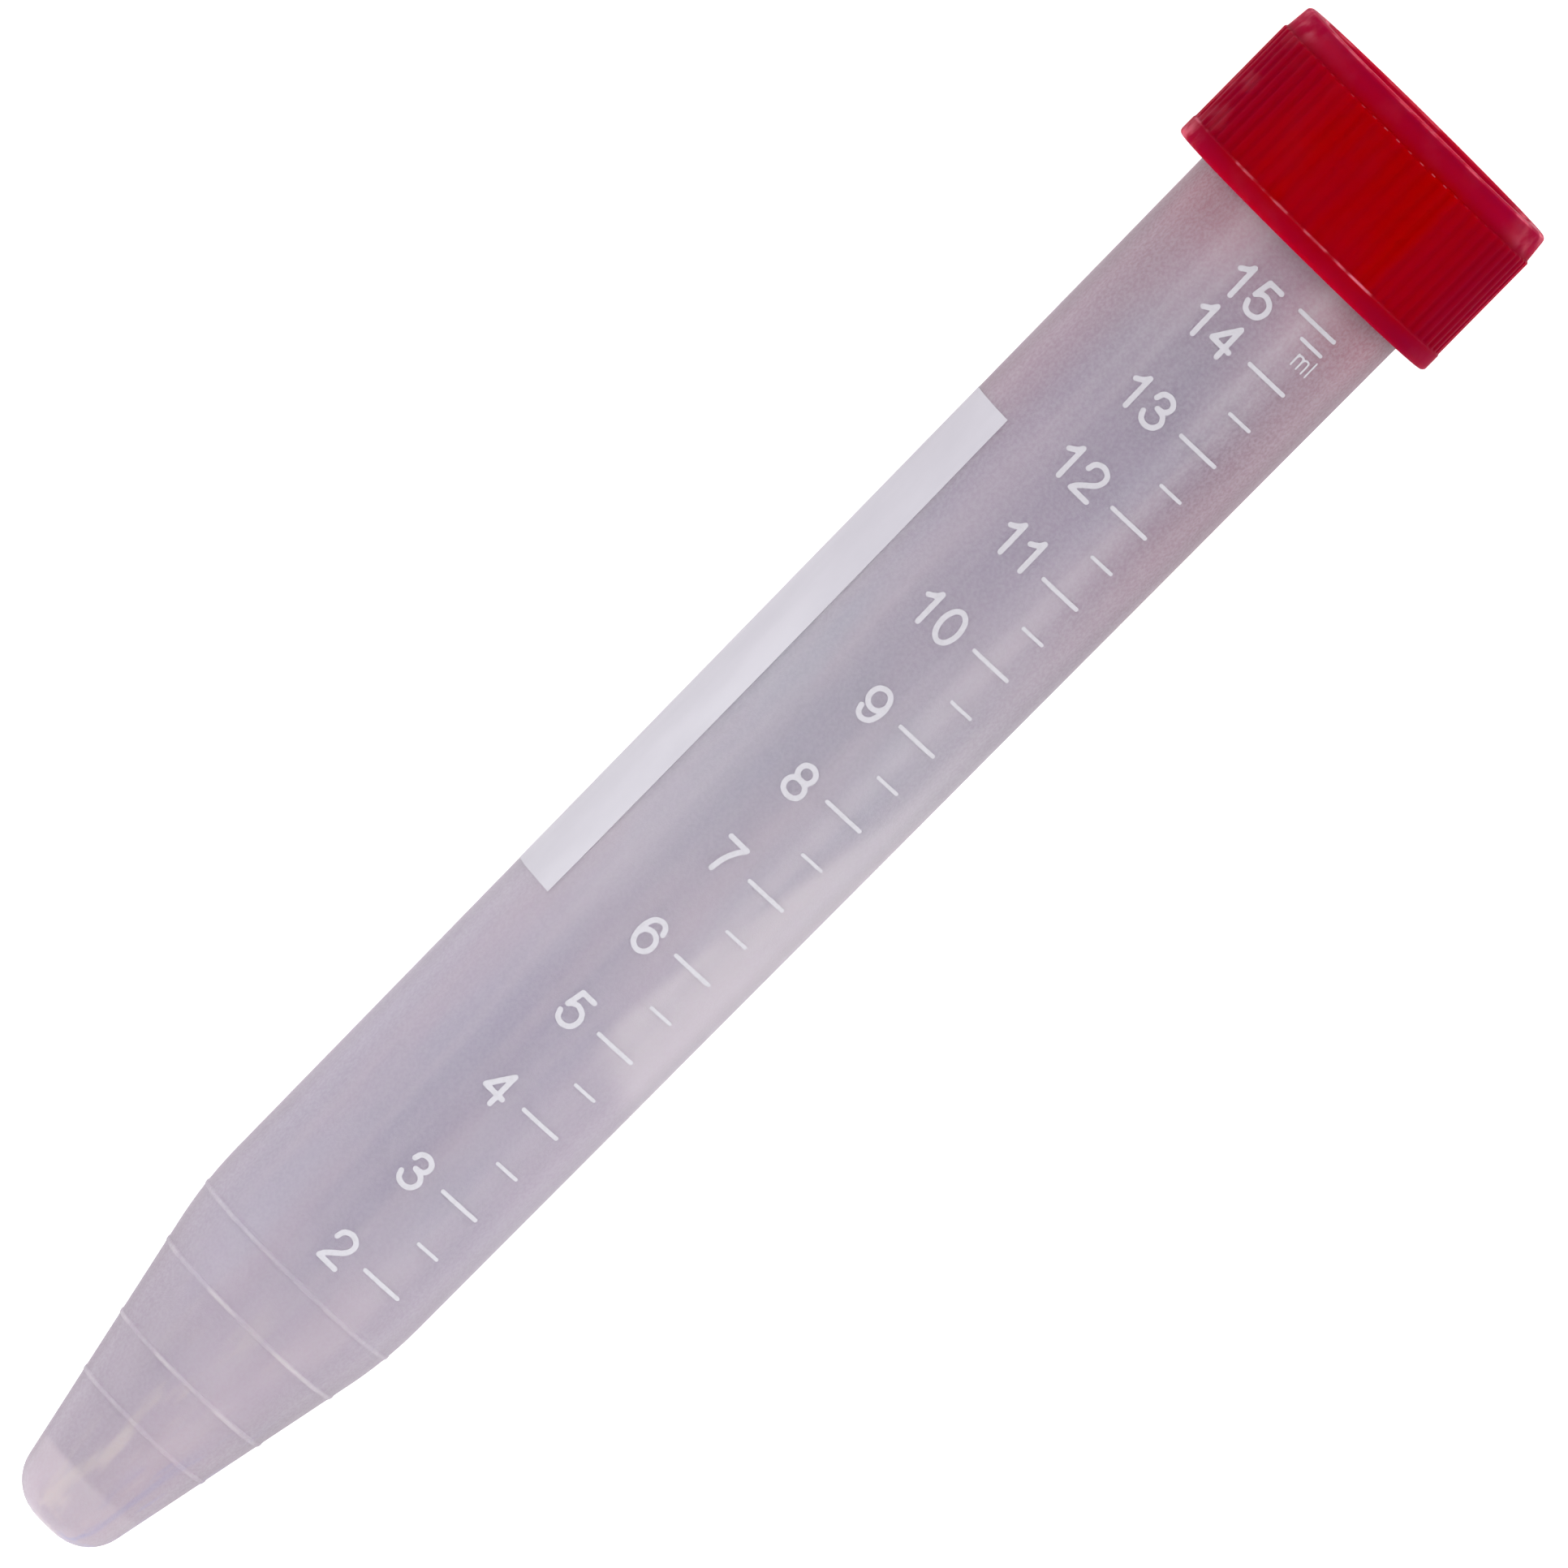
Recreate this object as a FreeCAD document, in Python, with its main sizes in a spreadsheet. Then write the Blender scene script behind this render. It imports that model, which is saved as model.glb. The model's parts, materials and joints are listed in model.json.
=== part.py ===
# A 15 ml conical centrifuge tube with its screw cap, lying on its side.
#
# Both pieces are injection mouldings and figures of revolution. Each is modelled about its own +Z
# axis, then laid down by its Placement: the tube points along +X with the cap at the +X end, and it
# rests on the lower edge of the cap and on the rounded shoulder above the cone. Millimetres.

import FreeCAD, Part
import math
import os

import Sketcher

# ------------------------------------------------------------------------------------ sizes

SIZES = [
    # the tube
    ("tube_length", 119.0, "tip to rim"),
    ("tip_radius", 3.25, "outside of the cone, drawn on to the plane of the tip"),
    ("tip_round", 3.0, "round between the small flat of the tip and the cone"),
    ("cone_length", 21.9, "tip to the sharp corner between the cone and the body"),
    ("shoulder_radius", 7.85, "outside radius at that corner"),
    ("shoulder_round", 28.0, "round that softens that corner outside"),
    ("draft_angle", 0.3, "degrees that each side of the body opens towards the mouth"),
    ("tube_wall", 1.05, "wall of the body and the cone, measured along the radius"),
    ("tip_floor", 3.2, "solid plastic below the cavity"),
    ("cavity_round", 1.8, "round at the bottom of the cavity"),
    ("neck_cover", 0.9, "how far the closed cap reaches down over the body"),
    ("neck_step", 0.1, "how much the neck, at the root of its thread, is slimmer than the body"),
    ("rim_chamfer", 0.25, "chamfer on the inner edge of the rim, which guides the plug in"),
    # the moulded rings on the cone that mark the small volumes
    ("ring_height", 0.08, "how far the crest of a ring stands out"),
    ("ring_width", 0.36, "width of a ring where it rises from the wall"),
    ("quarter_mark", 8.6, "height of the lowest ring"),
    ("half_mark", 12.65, "height of the half millilitre ring"),
    ("one_mark", 17.8, "height of the one millilitre ring"),
    # the cap, from the inside out
    ("seat_height", 9.5, "lower edge to the face that closes on the rim"),
    ("plate_thickness", 1.6, "that face to the top"),
    ("bore_clearance", 1.05, "bore to neck, the space that the two threads share"),
    ("lead_in", 0.4, "chamfer at the mouth of the bore"),
    ("plug_clearance", 0.12, "sealing plug to the inside of the mouth"),
    ("plug_wall", 0.8, "thickness of the plug"),
    ("plug_depth", 2.4, "how far the plug reaches into the mouth"),
    ("plug_taper", 0.35, "how much the plug narrows towards its end"),
    ("skirt_wall", 1.2, "wall at the plain ring around the lower edge"),
    ("skirt_ring", 1.4, "height of that ring"),
    ("skirt_chamfer", 0.25, "chamfer on the lower edge"),
    # the grip and the top
    ("rib_step", 0.05, "from the plain ring in to the crests of the ribs"),
    ("rib_count", 64, "grip ribs around the cap"),
    ("groove_depth", 0.25, "V groove between two ribs"),
    ("groove_mouth", 0.6, "width of a groove at the crests"),
    ("band_height", 1.8, "plain band above the ribs, up to the top"),
    ("band_step", 0.14, "from the crests in to the foot of the band"),
    ("band_taper", 0.18, "how much the band narrows towards the top"),
    ("top_chamfer", 0.3, "chamfer on the top edge"),
    ("top_rim", 1.18, "rim around the shallow recess in the top"),
    ("recess_depth", 0.35, "depth of that recess"),
    ("gate_radius", 1.1, "dimple at the moulding gate"),
    ("gate_depth", 0.25, "depth of that dimple"),
]

doc = FreeCAD.newDocument("conical_tube")
sheet = doc.addObject("Spreadsheet::Sheet", "sizes")
for row, (alias, number, meaning) in enumerate(SIZES, start=1):
    sheet.set(f"A{row}", meaning)
    sheet.set(f"B{row}", str(number))
    sheet.setAlias(f"B{row}", alias)
doc.recompute()


def value(expression):
    """The number that an expression on the sheet comes to."""
    result = sheet.evalExpression(expression)
    return float(getattr(result, "Value", result))


# --------------------------------------------------------------- radii that pieces share

def cone_at(height):
    """Outside of the cone at a height, its corners taken as sharp."""
    slope = "(sizes.shoulder_radius - sizes.tip_radius) / sizes.cone_length"
    return f"(sizes.tip_radius + ({height}) * {slope})"


def body_at(height):
    """Outside of the body at a height above the cone."""
    return f"(sizes.shoulder_radius + (({height}) - sizes.cone_length) * tan(sizes.draft_angle))"


CONE_ANGLE = "atan((sizes.shoulder_radius - sizes.tip_radius) / sizes.cone_length)"
HALF_TURN = f"(({CONE_ANGLE} - sizes.draft_angle * 1 deg) / 2)"
SHOULDER_LEAN = f"(({CONE_ANGLE} + sizes.draft_angle * 1 deg) / 2)"
SHOULDER_GAP = f"(sizes.shoulder_round * (1 / cos({HALF_TURN}) - 1))"
CAP_BASE = "(sizes.tube_length - sizes.seat_height)"
NECK_BASE = f"({CAP_BASE} + sizes.neck_cover)"
NECK_RADIUS = f"({body_at(NECK_BASE)} - sizes.neck_step)"
MOUTH_RADIUS = f"({body_at('sizes.tube_length')} - sizes.tube_wall)"
CAP_BORE = f"({NECK_RADIUS} + sizes.bore_clearance)"
SKIRT_RADIUS = f"({CAP_BORE} + sizes.skirt_wall)"
RIB_RADIUS = f"({SKIRT_RADIUS} - sizes.rib_step)"
BAND_RADIUS = f"({RIB_RADIUS} - sizes.band_step)"
TOP_RADIUS = f"({BAND_RADIUS} - sizes.band_taper)"
CAP_HEIGHT = "(sizes.seat_height + sizes.plate_thickness)"
RIB_END = f"({CAP_HEIGHT} - sizes.band_height)"


# --------------------------------------------------------------------------- sketch helpers

def origin_feature(body, role):
    """A body's own origin plane or axis."""
    return next(item for item in body.Origin.OriginFeatures if item.Role == role)


def attached_sketch(body, name, role):
    """An empty sketch on one of the body's origin planes."""
    sketch = body.newObject("Sketcher::SketchObject", name)
    sketch.AttachmentSupport = (origin_feature(body, role), [""])
    sketch.MapMode = "FlatFace"
    return sketch


def corner_arc(before, corner, after, radius):
    """The tangent arc at a corner: where it starts, its middle, and where it ends."""
    back = (before - corner).normalize()
    ahead = (after - corner).normalize()
    half = back.getAngle(ahead) / 2
    inward = (back + ahead).normalize()
    centre = corner + inward * (radius / math.sin(half))
    reach = radius / math.tan(half)
    return corner + back * reach, centre - inward * radius, corner + ahead * reach


def pin_point(sketch, geometry, end, across, up):
    """Dimensions that hold one point of the sketch to expressions."""
    for kind, axis, expression in (("DistanceX", -2, across), ("DistanceY", -1, up)):
        if expression == "0":
            sketch.addConstraint(Sketcher.Constraint("PointOnObject", geometry, end, axis))
            continue
        rule = Sketcher.Constraint(kind, -1, 1, geometry, end, value(expression))
        number = sketch.addConstraint(rule)
        sketch.setExpression(f"Constraints[{number}]", expression)


def closed_outline(sketch, corners):
    """A closed outline of lines through corners (across, up, round), each an expression.

    A corner whose round isn't "0" gets a tangent arc of that radius. Its sharp corner stays in
    the sketch as a construction point, which carries the two dimensions.
    """
    points = [FreeCAD.Vector(value(across), value(up), 0) for across, up, _ in corners]
    count = len(corners)
    starts = list(points)
    ends = list(points)
    arcs = {}
    for index, (_, _, rounding) in enumerate(corners):
        if rounding != "0":
            before, after = points[index - 1], points[(index + 1) % count]
            arcs[index] = corner_arc(before, points[index], after, value(rounding))
            ends[index], _, starts[index] = arcs[index]
    lines = []
    for index in range(count):
        line = Part.LineSegment(starts[index], ends[(index + 1) % count])
        lines.append(sketch.addGeometry(line, False))
    for index, (across, up, rounding) in enumerate(corners):
        line_in, line_out = lines[index - 1], lines[index]
        if rounding == "0":
            sketch.addConstraint(Sketcher.Constraint("Coincident", line_in, 2, line_out, 1))
            pin_point(sketch, line_out, 1, across, up)
            continue
        arc = sketch.addGeometry(Part.Arc(*arcs[index]), False)
        first = 1 if sketch.getPoint(arc, 1).isEqual(arcs[index][0], 1e-6) else 2
        sketch.addConstraint(Sketcher.Constraint("Tangent", line_in, 2, arc, first))
        sketch.addConstraint(Sketcher.Constraint("Tangent", arc, 3 - first, line_out, 1))
        number = sketch.addConstraint(Sketcher.Constraint("Radius", arc, value(rounding)))
        sketch.setExpression(f"Constraints[{number}]", rounding)
        corner = sketch.addGeometry(Part.Point(points[index]), True)
        sketch.addConstraint(Sketcher.Constraint("PointOnObject", corner, 1, line_in))
        sketch.addConstraint(Sketcher.Constraint("PointOnObject", corner, 1, line_out))
        pin_point(sketch, corner, 1, across, up)


def revolved(body, name, outlines):
    """Turn closed outlines, drawn as (radius, height), once around the body's +Z axis."""
    sketch = attached_sketch(body, f"{name}_section", "XZ_Plane")
    for corners in outlines:
        closed_outline(sketch, corners)
    turn = body.newObject("PartDesign::Revolution", name)
    turn.Profile = sketch
    turn.ReferenceAxis = (sketch, ["V_Axis"])
    turn.Angle = 360
    doc.recompute()
    return turn


# ------------------------------------------------------------------------------------ tube

tube = doc.addObject("PartDesign::Body", "tube")
tube.Label = "tube"

# The whole section in one outline: up the outside from the tip, over the rim, down the cavity.
# Outside, the shoulder is softened by a large round. Inside, the core leaves it crisp.
revolved(tube, "tube_moulding", [[
    ("0", "0", "0"),
    ("sizes.tip_radius", "0", "sizes.tip_round"),
    ("sizes.shoulder_radius", "sizes.cone_length", "sizes.shoulder_round"),
    (body_at(NECK_BASE), NECK_BASE, "0"),
    (NECK_RADIUS, f"{NECK_BASE} + sizes.neck_step", "0"),
    (NECK_RADIUS, "sizes.tube_length", "0"),
    (f"{MOUTH_RADIUS} + sizes.rim_chamfer", "sizes.tube_length", "0"),
    (MOUTH_RADIUS, "sizes.tube_length - sizes.rim_chamfer", "0"),
    ("sizes.shoulder_radius - sizes.tube_wall", "sizes.cone_length", "0"),
    (f"{cone_at('sizes.tip_floor')} - sizes.tube_wall", "sizes.tip_floor", "sizes.cavity_round"),
    ("0", "sizes.tip_floor", "0"),
]])


def ring_outline(height, surface):
    """Outline of one ring: a low V ridge on a surface, its foot sunk as deep as it stands out."""
    foot = f"{surface} - sizes.ring_height"
    return [
        (foot, f"{height} - sizes.ring_width", "0"),
        (f"{surface} + sizes.ring_height", height, "0"),
        (foot, f"{height} + sizes.ring_width", "0"),
    ]


# Three rings stand on the cone, and the highest on the middle of the rounded shoulder.
SHOULDER_SURFACE = f"(sizes.shoulder_radius - {SHOULDER_GAP} * cos({SHOULDER_LEAN}))"
SHOULDER_MARK = f"(sizes.cone_length + {SHOULDER_GAP} * sin({SHOULDER_LEAN}))"
MARKS = ["sizes.quarter_mark", "sizes.half_mark", "sizes.one_mark"]
rings = [ring_outline(mark, cone_at(mark)) for mark in MARKS]
rings.append(ring_outline(SHOULDER_MARK, SHOULDER_SURFACE))
revolved(tube, "cone_rings", rings)

# ------------------------------------------------------------------------------------- cap

cap = doc.addObject("PartDesign::Body", "cap")
cap.Label = "cap"

# From the middle of the underside: around the sealing plug, down the bore, up the outside, over
# the top. The tube's rim closes on the ring of flat between the plug and the bore.
PLUG_RADIUS = f"({MOUTH_RADIUS} - sizes.plug_clearance)"
PLUG_END = "(sizes.seat_height - sizes.plug_depth)"
RECESS_RADIUS = f"({TOP_RADIUS} - sizes.top_rim)"
RECESS_FLOOR = f"({CAP_HEIGHT} - sizes.recess_depth)"
revolved(cap, "cap_moulding", [[
    ("0", "sizes.seat_height", "0"),
    (f"{PLUG_RADIUS} - sizes.plug_wall", "sizes.seat_height", "0"),
    (f"{PLUG_RADIUS} - sizes.plug_wall", PLUG_END, "0"),
    (f"{PLUG_RADIUS} - sizes.plug_taper", PLUG_END, "0"),
    (PLUG_RADIUS, "sizes.seat_height", "0"),
    (CAP_BORE, "sizes.seat_height", "0"),
    (CAP_BORE, "sizes.lead_in", "0"),
    (f"{CAP_BORE} + sizes.lead_in", "0", "0"),
    (f"{SKIRT_RADIUS} - sizes.skirt_chamfer", "0", "0"),
    (SKIRT_RADIUS, "sizes.skirt_chamfer", "0"),
    (SKIRT_RADIUS, "sizes.skirt_ring", "0"),
    (RIB_RADIUS, "sizes.skirt_ring", "0"),
    (RIB_RADIUS, RIB_END, "0"),
    (BAND_RADIUS, RIB_END, "0"),
    (TOP_RADIUS, f"{CAP_HEIGHT} - sizes.top_chamfer", "0"),
    (f"{TOP_RADIUS} - sizes.top_chamfer", CAP_HEIGHT, "0"),
    (RECESS_RADIUS, CAP_HEIGHT, "0"),
    (f"{RECESS_RADIUS} - sizes.recess_depth", RECESS_FLOOR, "0"),
    ("sizes.gate_radius", RECESS_FLOOR, "0"),
    ("sizes.gate_radius", f"{RECESS_FLOOR} - sizes.gate_depth", "0"),
    ("0", f"{RECESS_FLOOR} - sizes.gate_depth", "0"),
]])
plain_volume = cap.Shape.Volume

# The grip: one groove is cut from the plain ring up to the band, then repeated around the cap.
# The cutter stands past the crests by the groove's own depth, so there it is twice as wide.
groove_section = attached_sketch(cap, "groove_section", "XY_Plane")
groove_section.setExpression("AttachmentOffset.Base.z", "sizes.skirt_ring")
closed_outline(groove_section, [
    (f"{RIB_RADIUS} - sizes.groove_depth", "0", "0"),
    (f"{RIB_RADIUS} + sizes.groove_depth", "-sizes.groove_mouth", "0"),
    (f"{RIB_RADIUS} + sizes.groove_depth", "sizes.groove_mouth", "0"),
])
groove = cap.newObject("PartDesign::Pocket", "groove")
groove.Profile = groove_section
groove.Reversed = True
groove.setExpression("Length", f"{RIB_END} - sizes.skirt_ring")
doc.recompute()
ribs = cap.newObject("PartDesign::PolarPattern", "grip_ribs")
ribs.Originals = [groove]
ribs.Axis = (origin_feature(cap, "Z_Axis"), [""])
ribs.Angle = 360
ribs.setExpression("Occurrences", "sizes.rib_count")
cap.Tip = ribs
doc.recompute()

# ------------------------------------------------------------------------- lying at rest

# A line along the bottom touches both pieces: the corner above the chamfer of the cap's lower
# edge, and the tube at the round of its shoulder or at the ring there, whichever it meets first.
tip_round, shoulder_round = value("sizes.tip_round"), value("sizes.shoulder_round")
cone_angle = math.radians(value(CONE_ANGLE))
shoulder_lean = math.radians(value(SHOULDER_LEAN))
cap_base = value(CAP_BASE)
edge_r, edge_z = value(SKIRT_RADIUS), cap_base + value("sizes.skirt_chamfer")


def tilt_on(contact_r, contact_z, rounding):
    """Tilt of the axis when the tube lies on the cap's edge and on a round at (radius, height)."""
    along = edge_z - contact_z
    outward = edge_r - contact_r
    return math.atan2(outward, along) - math.asin(rounding / math.hypot(along, outward))


shoulder_r = value(SHOULDER_SURFACE) - shoulder_round * math.cos(shoulder_lean)
shoulder_z = value(SHOULDER_MARK) + shoulder_round * math.sin(shoulder_lean)
ring_r = value(f"{SHOULDER_SURFACE} + sizes.ring_height")
ring_z = value(SHOULDER_MARK)
tilt = min(tilt_on(shoulder_r, shoulder_z, shoulder_round), tilt_on(ring_r, ring_z, 0))

# The origin is on the surface, under the middle of the lying tube. Its ends are the round of the
# tip at the back and the inner corner of the cap's top chamfer at the front.
tip_r = value(cone_at("sizes.tip_round")) - tip_round / math.cos(cone_angle)
back_end = tip_round * math.cos(tilt) - tip_r * math.sin(tilt) - tip_round
top_r = value(f"{TOP_RADIUS} - sizes.top_chamfer")
top_z = cap_base + value(CAP_HEIGHT)
front_end = top_z * math.cos(tilt) + top_r * math.sin(tilt)
floor = edge_z * math.sin(tilt) - edge_r * math.cos(tilt)

axis = FreeCAD.Vector(math.cos(tilt), 0, math.sin(tilt))
side = FreeCAD.Vector(0, 1, 0)
lying = FreeCAD.Rotation(side, axis.cross(side), axis, "ZXY")
tip = FreeCAD.Vector(-(back_end + front_end) / 2, 0, -floor)
tube.Placement = FreeCAD.Placement(tip, lying)
cap.Placement = FreeCAD.Placement(tip + axis * cap_base, lying)
doc.recompute()

# ---------------------------------------------------------------------------- check, write

for item in doc.Objects:
    if "Invalid" in item.State or "Error" in item.State:
        raise RuntimeError(f"{item.Name} failed: {item.State}")
if not cap.Shape.Volume < plain_volume:
    raise RuntimeError("the grip grooves cut nothing")

os.makedirs("parts", exist_ok=True)
for body in (tube, cap):
    shape = body.Shape
    if shape.isNull() or not shape.isValid() or len(shape.Solids) != 1:
        raise RuntimeError(f"{body.Label} is not one valid solid")
    shape.exportStep(f"parts/{body.Label}.step")
    print(body.Label, f"{shape.Volume:.1f} mm3", shape.optimalBoundingBox())
print(f"tilt {math.degrees(tilt):.3f} degrees")
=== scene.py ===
import bpy
import json
import math
from mathutils import Matrix, Vector, noise


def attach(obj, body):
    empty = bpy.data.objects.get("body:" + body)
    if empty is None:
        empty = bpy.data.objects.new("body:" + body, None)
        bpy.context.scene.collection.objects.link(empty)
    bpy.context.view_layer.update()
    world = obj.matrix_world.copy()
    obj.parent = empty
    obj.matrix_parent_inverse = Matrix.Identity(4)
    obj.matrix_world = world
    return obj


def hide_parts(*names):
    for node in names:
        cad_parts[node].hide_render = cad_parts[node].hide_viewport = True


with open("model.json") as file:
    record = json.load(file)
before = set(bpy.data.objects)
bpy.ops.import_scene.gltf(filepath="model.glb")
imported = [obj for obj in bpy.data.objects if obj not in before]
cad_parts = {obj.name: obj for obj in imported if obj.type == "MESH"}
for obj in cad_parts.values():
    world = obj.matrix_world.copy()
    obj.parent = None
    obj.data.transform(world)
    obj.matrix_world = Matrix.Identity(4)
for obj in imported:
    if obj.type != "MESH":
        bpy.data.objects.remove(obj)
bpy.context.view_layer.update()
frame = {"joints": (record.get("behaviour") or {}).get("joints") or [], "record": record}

# ------------------------------------------------------------------------------------- tube
# The tube is one injection moulding in natural polypropylene, milky and slightly clouded. It has
# a drafted body, a cone with moulded rings and a solid tip, and a neck with one raised thread.
# Its mesh is drawn standing on its tip, in millimetres, and then laid on its shoulder.

MM = 0.001
CONE_SEAT = 12.5                      # the record's cone seat, up from the tip
TUBE_LENGTH, TUBE_WALL = 119.0, 1.05
TIP_RADIUS, TIP_ROUND, TIP_FLOOR, CAVITY_ROUND = 3.25, 3.0, 3.2, 1.8
CONE_LENGTH, SHOULDER_RADIUS, SHOULDER_ROUND = 21.9, 7.85, 28.0
DRAFT = math.tan(math.radians(0.3))
SEAT_HEIGHT = 9.5                     # the cap's lower edge up to the face that meets the rim
CAP_BASE = TUBE_LENGTH - SEAT_HEIGHT  # that edge on the closed tube
NECK_BASE, NECK_STEP, RIM_ROUND = CAP_BASE + 0.9, 0.1, 0.25
RING_HEIGHT, RING_WIDTH, RING_ROWS = 0.06, 0.40, 12
RING_MARKS = (8.6, 12.65, 17.8, 21.95)
PITCH = 3.0                           # both threads
THREAD_FOOT, THREAD_CREST, THREAD_HEIGHT = 1.3, 0.55, 0.68
NECK_THREAD_START, NECK_THREAD_TURNS = 112.3, 1.55
NECK_EDGE = 0.04                      # the small rounds where the neck steps in
TUBE_COLUMNS = 240
SHARP_ANGLE = math.radians(50)        # a mesh edge that turns more than this stays sharp

axis = Vector(frame["joints"][0]["axis"])
seats = {mount["name"]: Vector(mount["pos_m"]) for mount in frame["record"]["mounts"]}
right = Vector((0, -1, 0))            # seen from above with the cap ahead
lying = Matrix((right, axis.cross(right), axis)).transposed().to_4x4()
lying.translation = seats["cone_seat"] - axis * (CONE_SEAT * MM)


def body_radius(height):
    """Outside of the body at a height above the tip."""
    return SHOULDER_RADIUS + (height - CONE_LENGTH) * DRAFT


def outline(corners, row=3.0, support=0.05):
    """Points (radius, height) along corners (radius, height, round), with each round in short
    steps. A straight gets a point every row, and one close to each end to keep it flat."""
    runs = []
    for index, (radius, height, rounding) in enumerate(corners):
        corner = Vector((radius, height))
        if not rounding:
            runs.append([corner])
            continue
        back = (Vector(corners[index - 1][:2]) - corner).normalized()
        ahead = (Vector(corners[index + 1][:2]) - corner).normalized()
        half = back.angle(ahead) / 2
        centre = corner + (back + ahead).normalized() * (rounding / math.sin(half))
        arm = corner + back * (rounding / math.tan(half)) - centre
        turn = math.copysign(math.pi - 2 * half, ahead.cross(back))
        steps = max(5, math.ceil(abs(turn) * rounding / 0.5))
        runs.append([centre + Matrix.Rotation(turn * step / steps, 2) @ arm
                     for step in range(steps + 1)])
    points = list(runs[0])
    for before, after in zip(runs, runs[1:]):
        gap = after[0] - before[-1]
        count = math.ceil(gap.length / row)
        places = [step / count for step in range(1, count)]
        if gap.length > 6 * support:
            places += [support / gap.length, 1 - support / gap.length]
        points += [before[-1] + gap * place for place in sorted(places)] + after
    return points


def smooth(share):
    """Ease from 0 to 1."""
    share = min(max(share, 0.0), 1.0)
    return share * share * (3 - 2 * share)


def thread_rise(angle, height, start, turns):
    """How far a thread stands out at an angle and a height. It runs in and out at its ends."""
    rise = 0.0
    for lap in range(math.ceil(turns) + 1):
        along = lap + angle / (2 * math.pi)
        off = abs(height - start - PITCH * along)
        flank = smooth((THREAD_FOOT / 2 - off) / ((THREAD_FOOT - THREAD_CREST) / 2))
        rise = max(rise, flank * smooth(along / 0.1) * smooth((turns - along) / 0.1))
    return rise * THREAD_HEIGHT


def solid_mesh(name, verts, faces):
    """A smooth piece from corners in millimetres, laid down with the tube."""
    mesh = bpy.data.meshes.new(name)
    mesh.from_pydata([lying @ (Vector(vert) * MM) for vert in verts], [], faces)
    mesh.validate()
    mesh.shade_smooth()
    mesh.set_sharp_from_angle(angle=SHARP_ANGLE)
    piece = bpy.data.objects.new(name, mesh)
    bpy.context.scene.collection.objects.link(piece)
    return piece


def turned(name, points, angles, shape):
    """A closed moulding turned about the axis. Its first and last points are on the axis, and
    shape(angle, radius, height) gives its radius where it isn't plainly round."""
    count, verts, rows = len(angles), [], []
    for radius, height in points:
        start = len(verts)
        if radius < 1e-6:
            rows.append([start] * count)
            verts.append((0, 0, height))
            continue
        rows.append(list(range(start, start + count)))
        for angle in angles:
            reach = shape(angle, radius, height)
            verts.append((reach * math.sin(angle), -reach * math.cos(angle), height))
    faces = []
    for low, high in zip(rows, rows[1:]):
        for near in range(count):
            far = (near + 1) % count
            faces.append(list(dict.fromkeys((low[near], low[far], high[far], high[near]))))
    return solid_mesh(name, verts, faces)


neck_radius = body_radius(NECK_BASE) - NECK_STEP
mouth_radius = body_radius(TUBE_LENGTH) - TUBE_WALL
cone_slope = (SHOULDER_RADIUS - TIP_RADIUS) / CONE_LENGTH
outside = outline([
    (0, 0, 0),
    (TIP_RADIUS, 0, TIP_ROUND),
    (SHOULDER_RADIUS, CONE_LENGTH, SHOULDER_ROUND),
    (body_radius(NECK_BASE), NECK_BASE, NECK_EDGE),
    (neck_radius, NECK_BASE + NECK_STEP, NECK_EDGE),
    (neck_radius, NECK_BASE + 2 * NECK_STEP, 0),
])
neck = outline([
    (neck_radius, NECK_BASE + 3 * NECK_STEP, 0),
    (neck_radius, TUBE_LENGTH, RIM_ROUND),
    (mouth_radius, TUBE_LENGTH, RIM_ROUND),
    (mouth_radius - 2 * DRAFT, TUBE_LENGTH - 2, 0),
], row=0.13)
inside = outline([
    (mouth_radius - 3 * DRAFT, TUBE_LENGTH - 3, 0),
    (SHOULDER_RADIUS - TUBE_WALL, CONE_LENGTH, 0.3),
    (TIP_RADIUS + TIP_FLOOR * cone_slope - TUBE_WALL, TIP_FLOOR, CAVITY_ROUND),
    (0, TIP_FLOOR, 0),
])

# The rings need close rows of their own, set into the outline where each ring stands.
for mark in RING_MARKS:
    for step in range(RING_ROWS + 1):
        height = mark + (step - RING_ROWS // 2) * RING_WIDTH / RING_ROWS
        place = next(index for index, point in enumerate(outside) if point.y > height)
        low, high = outside[place - 1], outside[place]
        if min(height - low.y, high.y - height) > 1e-4:
            outside.insert(place, low.lerp(high, (height - low.y) / (high.y - low.y)))


def tube_shape(angle, radius, height):
    """Adds the rings to the cone and the thread to the neck."""
    if height > NECK_BASE + NECK_STEP:
        on_neck = radius > neck_radius - 1e-4
        return radius + on_neck * thread_rise(angle, height, NECK_THREAD_START, NECK_THREAD_TURNS)
    if radius < TIP_RADIUS + height * cone_slope - TUBE_WALL / 2 or height > CONE_LENGTH + 2:
        return radius
    off = min(abs(height - mark) for mark in RING_MARKS)
    return radius + RING_HEIGHT * smooth((RING_WIDTH / 2 - off) / (RING_WIDTH / 4))


turn_steps = [2 * math.pi * step / TUBE_COLUMNS for step in range(TUBE_COLUMNS)]
tube = turned("tube_moulding", outside + neck + inside, turn_steps, tube_shape)


MIX_FACTOR, MIX_FIRST, MIX_SECOND, MIX_COLOUR = 0, 6, 7, 2  # a Mix node's sockets for colours


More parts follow.
